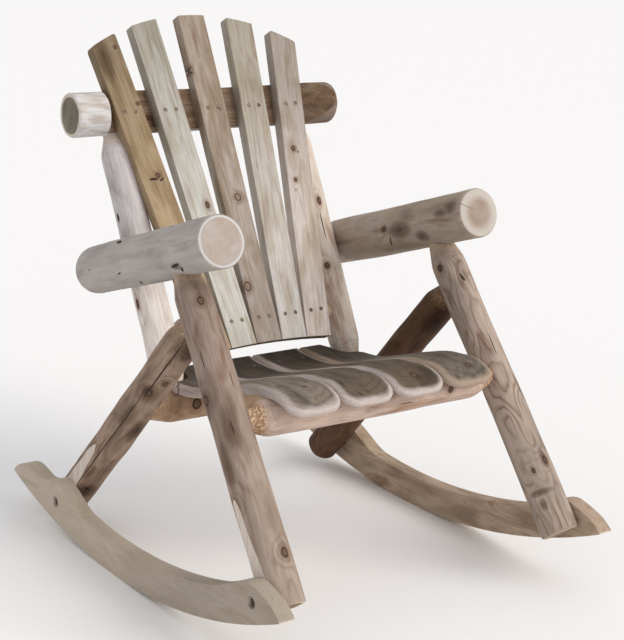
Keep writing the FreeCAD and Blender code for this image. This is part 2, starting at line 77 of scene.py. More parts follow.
SLAT_THICKNESS = 0.026
SLAT_FOOT_WIDTH = 0.061
SLAT_HEAD_WIDTH = 0.064
SLAT_FOOT_DROP = 0.053
SLAT_CROWN_HEIGHT = 0.6765
SLAT_CROWN_RADIUS = 0.520
SLAT_FOOT_ARC = 1.500
SLAT_CORNER = 0.008
SLAT_HEAD_ROW = 0.4655

SEAT_THICKNESS = 0.019
SEAT_TIP_THICKNESS = 0.013
SEAT_SLAT_WIDTH = 0.120
SEAT_PITCH = 0.123
SEAT_CORNER = 0.034
SEAT_FRONT = 0.093


def axes(origin, along, facing):
    """A piece's own frame in the row: its z runs along the piece and its x towards the facing side."""
    z = along.normalized()
    x = (facing - z * facing.dot(z)).normalized()
    y = z.cross(x)
    turn = Matrix((x, y, z)).transposed().to_4x4()
    return TO_ROW @ Matrix.Translation(origin) @ turn


def on_side(point, side):
    """A point of the left half, or its mirror image where the side is -1."""
    return Vector((side * point.x, point.y, point.z))


# ---- modelling, in edit mode as at the bench ----

def take_none():
    if bpy.context.mode != "OBJECT":
        bpy.ops.object.mode_set(mode="OBJECT")
    bpy.ops.object.select_all(action="DESELECT")


def choose(kind, test):
    """In edit mode, selects only the vertices, edges or faces that pass a test of place or normal."""
    bpy.ops.mesh.select_mode(type={"verts": "VERT", "edges": "EDGE", "faces": "FACE"}[kind])
    bpy.ops.mesh.select_all(action="DESELECT")
    mesh = bmesh.from_edit_mesh(bpy.context.object.data)
    for part in getattr(mesh, kind):
        if test(part):
            part.select_set(True)
    mesh.select_flush_mode()
    bmesh.update_edit_mesh(bpy.context.object.data)


def close_up():
    """Leaves edit mode with doubles merged and every face turned outwards."""
    bpy.ops.mesh.select_mode(type="VERT")
    bpy.ops.mesh.select_all(action="SELECT")
    bpy.ops.mesh.remove_doubles(threshold=0.00002)
    bpy.ops.mesh.normals_make_consistent(inside=False)
    bpy.ops.object.mode_set(mode="OBJECT")


def modify(piece, kind, **settings):
    """Adds a modifier with its settings and applies it."""
    bpy.context.view_layer.objects.active = piece
    added = piece.modifiers.new(kind.title(), kind)
    for name, value in settings.items():
        setattr(added, name, value)
    bpy.ops.object.modifier_apply(modifier=added.name)


def set_down(piece, place, name):
    """Puts a piece that was made at the origin in its place, which goes into its mesh."""
    take_none()
    piece.select_set(True)
    bpy.context.view_layer.objects.active = piece
    piece.matrix_world = place @ piece.matrix_world
    bpy.ops.object.transform_apply(location=True, rotation=True, scale=True)
    piece.name = name
    piece.data.name = name
    return piece


def cut_away(piece, cutter, operation="DIFFERENCE"):
    modify(piece, "BOOLEAN", object=cutter, operation=operation, solver="EXACT", material_mode="TRANSFER")
    bpy.data.objects.remove(cutter)


def soften(piece, degrees=35):
    take_none()
    piece.select_set(True)
    bpy.context.view_layer.objects.active = piece
    bpy.ops.object.shade_smooth_by_angle(angle=math.radians(degrees))


def block(low, high, place, finish):
    """A cutter: a box between two corners of a piece's own frame."""
    take_none()
    low, high = Vector(low), Vector(high)
    bpy.ops.mesh.primitive_cube_add(size=1, location=(low + high) / 2, scale=high - low)
    made = bpy.context.object
    made.data.materials.append(finish)
    return set_down(made, place, "cutter")


def drum(radius, low, high, place, finish, sides=96):
    """A cutter: a round bar about the z of a piece's own frame."""
    take_none()
    bpy.ops.mesh.primitive_cylinder_add(vertices=sides, radius=radius, depth=high - low,
                                        location=(0, 0, (low + high) / 2))
    made = bpy.context.object
    made.data.materials.append(finish)
    return set_down(made, place, "cutter")


def ruler(place):
    """An empty that gives a modifier's pattern its own place and stretch."""
    made = bpy.data.objects.new("ruler", None)
    bpy.context.scene.collection.objects.link(made)
    made.matrix_world = place
    bpy.context.view_layer.update()
    return made


def push(piece, texture, place, strength, **settings):
    """Displaces a piece by a texture laid out on a ruler."""
    guide = ruler(place)
    modify(piece, "DISPLACE", texture=texture, texture_coords="OBJECT", texture_coords_object=guide,
           strength=strength, **settings)
    bpy.data.objects.remove(guide)


lumps = bpy.data.textures.new("lumps", "CLOUDS")
lumps.noise_scale = 1.0
lumps.noise_depth = 2
swelling = bpy.data.textures.new("swelling", "BLEND")
swelling.progression = "SPHERICAL"


def spaced(stations, step=0.009):
    """Adds stations between the given ones so that none are further apart than a step."""
    out = [stations[0]]
    for (low, wide), (high, narrow) in zip(stations, stations[1:]):
        parts = max(1, math.ceil((high - low) / step))
        out += [(low + (high - low) * n / parts, wide + (narrow - wide) * n / parts)
                for n in range(1, parts + 1)]
    return out


def peeled(name, place, stations, finish, seed, bend=0.004, rough=0.0022, swells=(), sides=64):
    """A peeled log drawn out of a round, ring by ring, then bent, roughened and swollen at its knots."""
    take_none()
    rings = spaced(stations)
    low, radius = rings[0]
    bpy.ops.mesh.primitive_circle_add(vertices=sides, radius=radius, fill_type="NGON", location=(0, 0, low))
    log = bpy.context.object
    bpy.ops.object.mode_set(mode="EDIT")
    bpy.ops.mesh.select_mode(type="FACE")
    bpy.ops.mesh.select_all(action="SELECT")
    for (near, wide), (far, narrow) in zip(rings, rings[1:]):
        bpy.ops.mesh.extrude_region_move(TRANSFORM_OT_translate={"value": (0, 0, far - near)})
        if narrow != wide:
            bpy.ops.transform.resize(value=(narrow / wide, narrow / wide, 1), center_override=(0, 0, far))
    first, last = rings[0][0], rings[-1][0]
    choose("faces", lambda f: abs(f.normal.z) > 0.99 and len(f.verts) == sides)
    for _ in range(3):
        bpy.ops.mesh.inset(thickness=radius * 0.22)
    close_up()
    length = last - first
    tall = Matrix.Diagonal((90, 90, 0.30, 1))
    for direction, apart in (("X", 0), ("Y", 40)):
        along_log = Matrix.Translation((0, 0, seed * 7.3 + apart)) @ tall
        push(log, lumps, along_log, bend * 2, direction=direction, mid_level=0.5)
    grainwise = Matrix.Diagonal((0.05, 0.05, 0.16, 1))
    push(log, lumps, Matrix.Translation((seed, seed * 2.1, 0)) @ grainwise, rough * 2, direction="NORMAL",
         mid_level=0.5)
    for along, angle, width, height in swells:
        turn = math.radians(angle)
        reach = radius_at(stations, along)
        middle = (reach * math.cos(turn), reach * math.sin(turn), along)
        size = Matrix.Diagonal((width, width, width * 1.6, 1))
        push(log, swelling, Matrix.Translation(middle) @ size, height, direction="NORMAL", mid_level=0.0)
    log.data.materials.append(finish)
    return set_down(log, place, name)


def radius_at(stations, along):
    for (low, wide), (high, narrow) in zip(stations, stations[1:]):
        if low <= along <= high:
            return wide + (narrow - wide) * (along - low) / (high - low)
    return stations[0][1]


# ---- finishes ----

def linear(colour):
    """A colour written as an sRGB hex value, as the linear colour that a shader takes."""
    parts = [int(colour[n:n + 2], 16) / 255 for n in (0, 2, 4)]
    return [c / 12.92 if c <= 0.04045 else ((c + 0.055) / 1.055) ** 2.4 for c in parts] + [1.0]


def node(tree, inputs, stops=(), *, kind, out=0, **settings):
    """Adds a node with its settings, links or sets its inputs, sets a ramp's stops, and gives an output."""
    made = tree.nodes.new("ShaderNode" + kind)
    for name, value in settings.items():
        setattr(made, name, value)
    for socket, value in inputs.items():
        if isinstance(value, bpy.types.NodeSocket):
            tree.links.new(value, made.inputs[socket])
        else:
            made.inputs[socket].default_value = value
    if stops:
        while len(made.color_ramp.elements) < len(stops):
            made.color_ramp.elements.new(0.5)
        for element, (place, colour) in zip(made.color_ramp.elements, stops):
            element.position = place
            element.color = linear(colour) if isinstance(colour, str) else (colour, colour, colour, 1)
    return made.outputs[out]


# settings of the nodes that are used most
BLEND = dict(kind="Mix", out=2, data_type="RGBA")
TINT = dict(BLEND, blend_type="MULTIPLY")
TIMES = dict(kind="Math", operation="MULTIPLY")
TIMES_PLUS = dict(kind="Math", operation="MULTIPLY_ADD")
VECTOR_TIMES = dict(kind="VectorMath", operation="MULTIPLY")
LENGTH = dict(kind="VectorMath", operation="LENGTH", out="Value")
RAMP = dict(kind="ValToRGB")
RANGE = dict(kind="MapRange")
SMOOTH_RANGE = dict(RANGE, interpolation_type="SMOOTHSTEP")
NOISE = dict(kind="TexNoise", out="Fac")
SPREAD = dict(kind="Mapping")
LAID_OUT = dict(kind="Mapping", vector_type="TEXTURE")
PARTS = dict(kind="SeparateXYZ", out=2)

# repeats of each pattern in a metre, across the grain twice and then along it
WANDER = (18, 18, 5)
TONE_CHANGES = (26, 26, 7)
FIBRES = (420, 420, 11)
RING_PATCHES = (30, 30, 10)
NIBBLES = (230, 230, 230)

# heights of the bump, in metres
FIBRE_RELIEF = 0.00030
RING_RELIEF = -0.00035
NIBBLE_RELIEF = 0.0007
KNOT_RELIEF = 0.0012
SLIT_DEPTH = -0.0015

# marks are drawn a little larger than life so that they hold at this distance
KNOT_GROWTH = 1.2
# a ring swings out by this much round a knot
KNOT_SWING = 0.016
# a cone shows where the log is thinner than its radius by more than this
CONE_MARGIN = 0.0035
CONE_SHARPNESS = 70.0


def cedar(name, place, tones, seed, pith=(0.0, 0.0, 0.0, 0.0), ring=0.0024, ring_strength=0.3,
          ring_wobble=0.004, streaks=0.16, knots=(), slits=(), stains=(), radius=None,
          end_tones=("8f7f6f", "b7a391"), rim_tone=None, rim_at=(0.80, 0.86), cone_tone=None,
          cone_share=0.4, routed=None, stain_tone="8c7460", knot_tones=("6b5342", "2a1d15"), rough=0.78,
          shade_fade=None):
    """Air-dried northern white cedar, cut through in the round.
    The growth rings are solid, so they show as rings on an end, as arches on a flat face and as long
    broken ovals on a peeled log, whose surface follows one ring. Fibres draw fine streaks along it."""
    made = bpy.data.materials.new(name)
    made.use_nodes = True
    tree = made.node_tree
    tree.nodes.clear()
    on_object = node(tree, {}, kind="TexCoord", out="Object")
    normal = on_object.node.outputs["Normal"]
    rotation = place.to_euler()
    own = node(tree, {"Vector": on_object, "Location": place.translation, "Rotation": rotation}, **LAID_OUT)
    facing = node(tree, {"Vector": normal, "Rotation": rotation}, **LAID_OUT)

    # growth wanders a few millimetres from a straight axis
    spread = {"Vector": own, "Location": (seed, seed * 1.7, seed * 0.3), "Scale": WANDER}
    drift = node(tree, {"Vector": node(tree, spread, **SPREAD), "Scale": 1.0, "Detail": 2.0,
                        "Roughness": 0.5}, kind="TexNoise", out="Color")
    shifted = node(tree, {0: drift, 1: (0.5, 0.5, 0.5)}, kind="VectorMath", operation="SUBTRACT")
    wavy = node(tree, {0: shifted, 1: (ring_wobble * 2,) * 3, 2: own}, kind="VectorMath",
                operation="MULTIPLY_ADD")

    # distance fields of knots, slits and stains: 1 at their edge
    def nearest(spots):
        closest = None
        for along, side, wide, tall, *tilts in spots:
            wide, tall = wide * KNOT_GROWTH, tall * KNOT_GROWTH
            tilt = math.radians(tilts[0]) if tilts else 0.0
            if radius:
                turn = math.radians(side)
                middle, spin = (radius * math.cos(turn), radius * math.sin(turn), along), (tilt, 0, turn)
                size = (radius * 0.7, wide, tall)
            else:
                middle, spin, size = (side, 0, along), (0, tilt, 0), (wide, 1.0, tall)
            spot = {"Vector": wavy, "Location": middle, "Rotation": spin, "Scale": size}
            reach = node(tree, {0: node(tree, spot, **LAID_OUT)}, **LENGTH)
            if closest is not None:
                reach = node(tree, {0: closest, 1: reach}, kind="Math", operation="MINIMUM")
            closest = reach
        return closest

    knot_field, slit_field, stain_field = nearest(knots), nearest(slits), nearest(stains)

    # growth rings about the pith
    pith_x, pith_y, lean_x, lean_y = pith
    leaned = node(tree, {"Vector": wavy, "Location": (pith_x, pith_y, 0), "Rotation": (lean_x, lean_y, 0)},
                  **LAID_OUT)
    depth = node(tree, {0: node(tree, {0: leaned, 1: (1, 1, 0)}, **VECTOR_TIMES)}, **LENGTH)
    if knot_field is not None:
        pull = node(tree, {0: knot_field, 1: -1.1}, **TIMES)
        pull = node(tree, {0: pull}, kind="Math", operation="EXPONENT")
        depth = node(tree, {0: pull, 1: KNOT_SWING, 2: depth}, **TIMES_PLUS)
    years = node(tree, {0: depth, 1: 1 / ring}, **TIMES)
    season = node(tree, {0: years}, kind="Math", operation="FRACT")
    latewood = node(tree, {0: season}, [(0.0, 0.15), (0.45, 0.0), (0.86, 1.0), (1.0, 0.15)], **RAMP)

    # slow changes of tone, then fibres about 2 mm wide and 90 mm long
    spread = {"Vector": wavy, "Location": (seed * 3.1, seed, seed * 2.3), "Scale": TONE_CHANGES}
    broad = node(tree, {"Vector": node(tree, spread, **SPREAD), "Scale": 1.0, "Detail": 3.0,
                        "Roughness": 0.55, "Distortion": 0.4}, **NOISE)
    colour = node(tree, {0: broad}, list(zip((0.30, 0.44, 0.56, 0.70), tones)), **RAMP)
    spread = {"Vector": wavy, "Location": (seed, 0, seed), "Scale": FIBRES}
    fibres = node(tree, {"Vector": node(tree, spread, **SPREAD), "Scale": 1.0, "Detail": 3.0,
                         "Roughness": 0.6}, **NOISE)
    spread = {"Vector": wavy, "Location": (0, seed, seed * 5), "Scale": RING_PATCHES}
    patchy = node(tree, {"Vector": node(tree, spread, **SPREAD), "Scale": 1.0, "Detail": 1.0}, **NOISE)
    patches = node(tree, {0: patchy}, [(0.36, 0.25), (0.62, 1.0)], **RAMP)
    line_share = node(tree, {0: latewood, 1: patches}, **TIMES)
    line_share = node(tree, {0: line_share, 1: ring_strength}, **TIMES)
    darker = node(tree, {0: 1.0, 6: colour, 7: linear("a58569")}, **TINT)
    colour = node(tree, {0: line_share, 6: colour, 7: darker}, **BLEND)
    contrast = [(0.3, 1 - streaks * 1.6), (0.5, 1.0), (0.72, 1 + streaks * 0.5)]
    streak = node(tree, {0: fibres}, contrast, **RAMP)
    colour = node(tree, {0: 1.0, 6: colour, 7: streak}, **TINT)
    if shade_fade:
        # painted light and shade: one end of the piece is tinted darker than the other, to follow how the
        # light falls along it
        start, end, first_tone, last_tone = shade_fade
        along = node(tree, {0: own}, **PARTS)
        share = node(tree, {0: along, 1: start, 2: end}, **RANGE)
        end_shade = node(tree, {0: share, 6: linear(first_tone), 7: linear(last_tone)}, **BLEND)
        colour = node(tree, {0: 1.0, 6: colour, 7: end_shade}, **TINT)
    height = node(tree, {0: fibres, 1: FIBRE_RELIEF}, **TIMES)
    height = node(tree, {0: line_share, 1: RING_RELIEF, 2: height}, **TIMES_PLUS)

    endwise = node(tree, {0: node(tree, {0: facing}, **PARTS)}, kind="Math", operation="ABSOLUTE")
    endwise = node(tree, {0: endwise, 1: 0.80, 2: 0.93}, **SMOOTH_RANGE)

    if cone_tone and radius:
        # the tool that turns a cone leaves it golden and nibbled
        from_axis = node(tree, {0: node(tree, {0: own, 1: (1, 1, 0)}, **VECTOR_TIMES)}, **LENGTH)
        full = -(radius - CONE_MARGIN) * CONE_SHARPNESS
        shy = node(tree, {0: from_axis, 1: CONE_SHARPNESS, 2: full}, **TIMES_PLUS)
        coned = node(tree, {0: shy, 1: 0.0, 2: -0.35, 3: 0.0, 4: 1.0}, **RANGE)
        along_normal = node(tree, {0: endwise, 1: 0.0, 2: 0.3, 3: 1.0, 4: 0.0}, **RANGE)
        coned = node(tree, {0: coned, 1: along_normal}, **TIMES)
        spread = {"Vector": wavy, "Scale": NIBBLES}
        bites = node(tree, {"Vector": node(tree, spread, **SPREAD), "Scale": 1.0}, kind="TexVoronoi",
                     out="Distance")
        bitten = node(tree, {0: bites}, [(0.1, "8c6a4c"), (0.45, cone_tone), (0.9, "dcc3a2")], **RAMP)
        share = node(tree, {0: coned, 1: cone_share}, **TIMES)
        colour = node(tree, {0: share, 6: colour, 7: bitten}, **BLEND)
        nibble = node(tree, {0: bites, 1: share}, **TIMES)
        height = node(tree, {0: nibble, 1: NIBBLE_RELIEF, 2: height}, **TIMES_PLUS)

    # end grain: rings, a dull heart and, on a log, a pale rim of sapwood
    heart = node(tree, {0: broad}, [(0.35, end_tones[0]), (0.65, end_tones[1])], **RAMP)
    end_lines = node(tree, {0: 1.0, 6: heart, 7: linear("c2ab95")}, **TINT)
    heart = node(tree, {0: node(tree, {0: latewood, 1: 0.55}, **TIMES), 6: heart, 7: end_lines}, **BLEND)
    if rim_tone and radius:
        wavy_reach = node(tree, {0: node(tree, {0: wavy, 1: (1, 1, 0)}, **VECTOR_TIMES)}, **LENGTH)
        rim = node(tree, {0: wavy_reach, 1: radius * rim_at[0], 2: radius * rim_at[1]}, **SMOOTH_RANGE)
        heart = node(tree, {0: rim, 6: heart, 7: linear(rim_tone)}, **BLEND)
    colour = node(tree, {0: endwise, 6: colour, 7: heart}, **BLEND)

    if routed:
        # the edge is made pale: partly fresh wood that a router bared after the top had greyed, partly a
        # painted highlight where light catches the rounded edge and the sides
        edge = node(tree, {}, kind="Attribute", out="Fac", attribute_name="edge")
        fray = node(tree, {0: patchy, 1: 0.7, 2: -0.35}, **TIMES_PLUS)
        edge = node(tree, {0: edge, 1: fray}, kind="Math", operation="ADD")
        edge = node(tree, {0: edge, 1: 0.12, 2: 0.85}, **SMOOTH_RANGE)
        routed_and_highlight = node(tree, {0: line_share, 6: linear(routed), 7: linear("a8907a")}, **BLEND)
        routed_and_highlight = node(tree, {0: 1.0, 6: routed_and_highlight, 7: streak}, **TINT)
        colour = node(tree, {0: edge, 6: colour, 7: routed_and_highlight}, **BLEND)

    if stain_field is not None:
        stained = node(tree, {0: stain_field}, [(0.0, 0.85), (0.45, 0.6), (1.0, 0.0)], **RAMP)
        stained.node.color_ramp.interpolation = "EASE"
        darker = node(tree, {0: 1.0, 6: colour, 7: linear(stain_tone)}, **TINT)
        colour = node(tree, {0: stained, 6: colour, 7: darker}, **BLEND)
    if knot_field is not None:
        halo = node(tree, {0: knot_field, 1: 2.6, 2: 1.0, 3: 0.0, 4: 0.5}, **SMOOTH_RANGE)
        darker = node(tree, {0: 1.0, 6: colour, 7: linear("b08a6c")}, **TINT)
        colour = node(tree, {0: halo, 6: colour, 7: darker}, **BLEND)
        warm, dark = knot_tones
        core = node(tree, {0: knot_field}, [(0.0, dark), (0.22, warm), (0.62, warm), (0.80, dark),
                                            (0.97, dark)], **RAMP)
        inside = node(tree, {0: knot_field, 1: 1.08, 2: 0.92}, **RANGE)
        colour = node(tree, {0: inside, 6: colour, 7: core}, **BLEND)
        dip = node(tree, {0: knot_field}, [(0.0, 0.7), (0.6, 0.6), (0.85, 0.0), (1.0, 0.5)], **RAMP)
        dip = node(tree, {0: dip, 1: -0.5}, kind="Math", operation="ADD")
        height = node(tree, {0: dip, 1: KNOT_RELIEF, 2: height}, **TIMES_PLUS)
    if slit_field is not None:
        # the inside of a slit is painted near-black: painted shade in the crack
        inside = node(tree, {0: slit_field, 1: 1.15, 2: 0.7}, **RANGE)
        colour = node(tree, {0: inside, 6: colour, 7: linear("2e2019")}, **BLEND)
        height = node(tree, {0: inside, 1: SLIT_DEPTH, 2: height}, **TIMES_PLUS)

    bump = node(tree, {"Height": height, "Strength": 1.0, "Distance": 1.0}, kind="Bump")
    dull = node(tree, {0: fibres, 1: 0.3, 2: 0.7, 3: rough - 0.06, 4: rough + 0.08}, **RANGE)
    shader = node(tree, {"Base Color": colour, "Roughness": dull, "Normal": bump, "IOR": 1.5,
                         "Specular IOR Level": 0.3}, kind="BsdfPrincipled")
    tree.links.new(shader, tree.nodes.new("ShaderNodeOutputMaterial").inputs[0])
    return made


def steel(name, tone, tarnish, rough):
    """Zinc-plated steel that has dulled out of doors: the eye gets a small grey glint in a brown film."""
    made = bpy.data.materials.new(name)
    made.use_nodes = True
    tree = made.node_tree
    tree.nodes.clear()
    on_object = node(tree, {}, kind="TexCoord", out="Object")
    blotch = node(tree, {"Vector": on_object, "Scale": 420.0, "Detail": 3.0}, **NOISE)
    share = node(tree, {0: blotch, 1: 0.42, 2: 0.62}, **RANGE)
    colour = node(tree, {0: share, 6: linear(tone), 7: linear(tarnish)}, **BLEND)
    dull = node(tree, {0: blotch, 1: 0.3, 2: 0.7, 3: rough, 4: rough + 0.25}, **RANGE)
    grit = node(tree, {"Height": blotch, "Strength": 0.25, "Distance": 0.0004}, kind="Bump")
    shader = node(tree, {"Base Color": colour, "Metallic": 1.0, "Roughness": dull, "Normal": grit},
                  kind="BsdfPrincipled")
    tree.links.new(shader, tree.nodes.new("ShaderNodeOutputMaterial").inputs[0])
    return made


# ---- logs ----

# stations are (place along the log, radius); a tenon stops short of the joint's middle
TENON_SHORT = 0.012
LEG_LENGTH = (ARM_JOINT - FRONT_FOOT).length
LEG_STATIONS = [(0.0, 0.0348), (0.0014, 0.0368), (0.004, 0.0385), (0.592, 0.0350), (0.602, 0.0343),
                (0.612, 0.0322), (0.644, 0.0245), (LEG_LENGTH - TENON_SHORT, 0.0240)]
BRACE_LENGTH = (LEG_JOINT - REAR_FOOT).length
BRACE_STATIONS = [(0.0, 0.0322), (0.0014, 0.0345), (0.004, 0.036), (0.612, 0.036), (0.622, 0.0351),
                  (0.630, 0.0330), (0.662, 0.0245), (BRACE_LENGTH - TENON_SHORT, 0.0240)]
ARM_STATIONS = [(-0.152, 0.0470), (-0.1508, 0.0487), (-0.148, 0.0500), (0.250, 0.0500), (0.335, 0.0490),
                (0.344, 0.0478), (0.348, 0.0450)]
POST_STATIONS = [(0.012, 0.0230), (0.035, 0.0232), (0.066, 0.0322), (0.076, 0.0336), (0.086, 0.0340),
                 (0.525, 0.0340), (0.534, 0.0334), (0.544, 0.0308), (0.5725, 0.0205), (0.606, 0.0200)]


def both_ends(half, *near):
    """Stations of a log that is the same at both ends, from (distance in from the end, radius)."""
    left = [(-half + inset, radius) for inset, radius in near]
    return left + [(-place, radius) for place, radius in reversed(left)]


FRONT_RAIL_STATIONS = both_ends(0.310, (0.0, 0.0225), (0.0273, 0.0232), (0.058, 0.0345), (0.067, 0.0366),
                                (0.080, 0.0370))
REAR_RAIL_STATIONS = both_ends(0.312, (0.0, 0.0225), (0.0261, 0.0232), (0.057, 0.0325), (0.066, 0.0345),
                               (0.078, 0.0350))
LOWER_RAIL_STATIONS = both_ends(0.214, (0.0, 0.0195), (0.0238, 0.0200), (0.041, 0.0285), (0.050, 0.0300))
TOP_RAIL_STATIONS = both_ends(0.323, (0.0, 0.0428), (0.0012, 0.0443), (0.004, 0.0455), (0.070, 0.0455))

sawn_notch = cedar("sawn_notch_face", TO_ROW, ("c9bcb0", "d6c9bd", "dccfc3", "cdbcae"), 2.0,
                   pith=(0.30, 0, 0, 0.02), ring=0.004, ring_strength=0.2)


def notch(leg, side):
    """The flat cut that lets a leg sit against its rocker."""
    low, high = (HALF_TRACK, 0.45) if side > 0 else (-0.45, -HALF_TRACK)
    cut_away(leg, block((low, -0.6, -0.05), (high, 0.6, 0.32), TO_ROW, sawn_notch))


def finish_log(log, name):
    soften(log, 38)
    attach(log, "root")
    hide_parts(name)


# marks are (along, degrees round, half width, half height[, tilt]) on a log, in metres
LEGS = {
    "left_front_leg": dict(
        tones=("8f8176", "a69689", "b3a294", "9c867a"), seed=3.1, ring=0.0015, ring_strength=0.75,
        ring_wobble=0.0065, knot_tones=("5c4a3c", "2c211a"),
        knots=[(0.590, -165, 0.0050, 0.0062), (0.144, -88, 0.0046, 0.0070), (0.131, -136, 0.0030, 0.0048),
               (0.380, 60, 0.008, 0.010), (0.240, 20, 0.006, 0.008)],
        slits=[(0.551, -111, 0.0022, 0.0085, 20), (0.40, -100, 0.0010, 0.020), (0.30, -60, 0.0012, 0.03)],
        stains=[(0.060, -146, 0.009, 0.014), (0.085, -140, 0.030, 0.008), (0.148, -92, 0.008, 0.024)]),
    "right_front_leg": dict(
        tones=("837063", "9c897a", "ac9b8d", "907563"), seed=5.7, ring=0.0021, ring_strength=0.4,
        knots=[(0.577, -105, 0.0055, 0.0070), (0.396, -178, 0.0060, 0.0085), (0.196, -178, 0.0055, 0.0085),
               (0.089, -80, 0.0060, 0.0080), (0.300, 30, 0.007, 0.009)],
        slits=[(0.470, -150, 0.0008, 0.016), (0.42, -80, 0.0008, 0.012), (0.33, -120, 0.0007, 0.012)],
        stains=[(0.330, -125, 0.016, 0.05), (0.27, -172, 0.014, 0.05)], stain_tone="a58d7c",
        # painted shade: the leg is tinted darker towards its top, under the arm
        shade_fade=(0.2, 0.5, "ffffff", "e7e3e3")),
}
for name, side in (("left_front_leg", 1), ("right_front_leg", -1)):
    look = LEGS[name]
    foot, joint = on_side(FRONT_FOOT, side), on_side(ARM_JOINT, side)
    place = axes(foot, joint - foot, ACROSS)
    finish = cedar(name + "_cedar", place, radius=0.0365, cone_tone="c9ad8e", rim_tone="cdbfae",
                   end_tones=("8b7256", "a58c70"), **look)
    leg = peeled(name, place, LEG_STATIONS, finish, look["seed"], bend=0.0022, rough=0.0016,
                 swells=[(k[0], k[1], 0.035, 0.0022) for k in look["knots"]])
    notch(leg, side)
    finish_log(leg, name)

BRACES = {
    "left_rear_leg": dict(
        # its tones are very dark: partly the wood's own tone, partly painted shade, as the leg is seen from
        # its shaded underside
        tones=("452e1d", "583e29", "654a34", "4b2f1a"), seed=8.3,
        knots=[(0.30, 170, 0.006, 0.008), (0.45, -100, 0.006, 0.008), (0.2, 60, 0.006, 0.009)],
        slits=[(0.50, -120, 0.001, 0.03)], stains=[(0.60, -120, 0.03, 0.05)], rim_tone="5a4330",
        end_tones=("3f2c1d", "523c29")),
    "right_rear_leg": dict(
        tones=("685344", "8c7664", "a68e7b", "755b47"), seed=9.9,
        knots=[(0.530, -110, 0.0045, 0.0060), (0.485, -137, 0.0050, 0.0075), (0.250, 20, 0.006, 0.008)],
        slits=[(0.560, -141, 0.0011, 0.085), (0.290, -150, 0.0009, 0.170), (0.104, -112, 0.004, 0.007, 40)],
        stains=[(0.480, -135, 0.022, 0.034), (0.095, -110, 0.026, 0.030), (0.35, -95, 0.016, 0.05),
                (0.64, -120, 0.04, 0.04)], rim_tone="94785c", end_tones=("6d543c", "86684c")),
}
for name, side in (("left_rear_leg", 1), ("right_rear_leg", -1)):
    foot, joint = on_side(REAR_FOOT, side), on_side(LEG_JOINT, side)
    place = axes(foot, joint - foot, ACROSS)
    look = BRACES[name]
    finish = cedar(name + "_cedar", place, radius=0.036, ring=0.0023, ring_strength=0.45, cone_tone="8a6c52",
                   **look)
    leg = peeled(name, place, BRACE_STATIONS, finish, look["seed"], bend=0.0035,
                 rough=0.0030 if side < 0 else 0.0018,
                 swells=[(k[0], k[1], 0.04, 0.003) for k in look["knots"]])
    notch(leg, side)
    finish_log(leg, name)

ARMS = {
    "left_arm": dict(
        tones=("8c7d70", "a99a86", "b3a598", "8e7762"), seed=12.4,
        knots=[(0.100, -176, 0.0050, 0.0060), (0.25, 40, 0.006, 0.008)],
        slits=[(0.089, 151, 0.0016, 0.010, 60), (-0.02, 60, 0.0010, 0.014), (-0.150, -152, 0.0004, 0.010)],
        stains=[(-0.118, -157, 0.015, 0.024), (-0.090, -165, 0.010, 0.026), (-0.014, 147, 0.016, 0.022),
                (0.05, 175, 0.02, 0.04)], stain_tone="66513f", rim_tone="c0b7ae", rim_at=(0.40, 0.85),
        end_tones=("9e8b7b", "aa9b8f")),
    "right_arm": dict(
        tones=("9c9591", "ada6a2", "b7b0aa", "a69d95"), seed=14.9,
        knots=[(0.20, 40, 0.006, 0.008)],
        slits=[(0.173, -129, 0.0042, 0.012, -15), (-0.050, 146, 0.0026, 0.015, 8),
               (-0.058, 131, 0.0024, 0.009, 38), (0.128, 114, 0.0026, 0.008, 40),
               (0.166, 155, 0.0011, 0.007, 10), (0.281, 178, 0.0015, 0.0022),
               (-0.017, -112, 0.0024, 0.006, 30)],
        stains=[(-0.05, 142, 0.010, 0.020)], rim_tone="c9c6c4", rim_at=(0.84, 0.90),
        end_tones=("b0a196", "bdb4ae")),
}
for name, side in (("left_arm", 1), ("right_arm", -1)):
    place = axes(on_side(ARM_JOINT, side), ARM_AXIS, ACROSS)
    look = ARMS[name]
    finish = cedar(name + "_cedar", place, radius=0.050, ring=0.0030, ring_strength=0.20, ring_wobble=0.003,
                   streaks=0.10, **look)
    arm = peeled(name, place, ARM_STATIONS, finish, look["seed"], bend=0.0020, rough=0.0015, sides=80,
                 swells=[(k[0], k[1], 0.04, 0.002) for k in look["slits"][:2]])
    finish_log(arm, name)

POSTS = {
    "left_back_post": dict(
        tones=("b1a194", "ccbdb1", "d8ccbf", "b9a08f"), seed=17.0,
        knots=[(0.386, -93, 0.0045, 0.0085), (0.239, -121, 0.0050, 0.0060)],
        slits=[(0.33, -100, 0.001, 0.03)],
        cone_tone="b09c8c", cone_share=0.2),
    "right_back_post": dict(
        # painted light and shade: the tones are raised and the post is tinted darker above its low part, so
        # that the low part under the arm stays pale where the arm's shadow falls
        tones=("ccbfb6", "e9e1da", "f4ece6", "dec7bd"), seed=19.6,
        cone_tone="d8c6b0", knots=[(0.214, -175, 0.0040, 0.0090)],
        slits=[(0.399, -177, 0.0030, 0.0080), (0.30, -120, 0.0010, 0.03)],
        shade_fade=(0.20, 0.34, "ffffff", "d4d6dc")),
}
for name, side in (("left_back_post", 1), ("right_back_post", -1)):
    place = axes(on_side(POST_FOOT, side), UP_THE_BACK, ACROSS)
    look = POSTS[name]
    finish = cedar(name + "_cedar", place, radius=0.034, ring=0.0022, ring_strength=0.3, **look)
    post = peeled(name, place, POST_STATIONS, finish, look["seed"], bend=0.0022, rough=0.0018,
                  swells=[(k[0], k[1], 0.03, 0.002) for k in look["knots"]])
    finish_log(post, name)

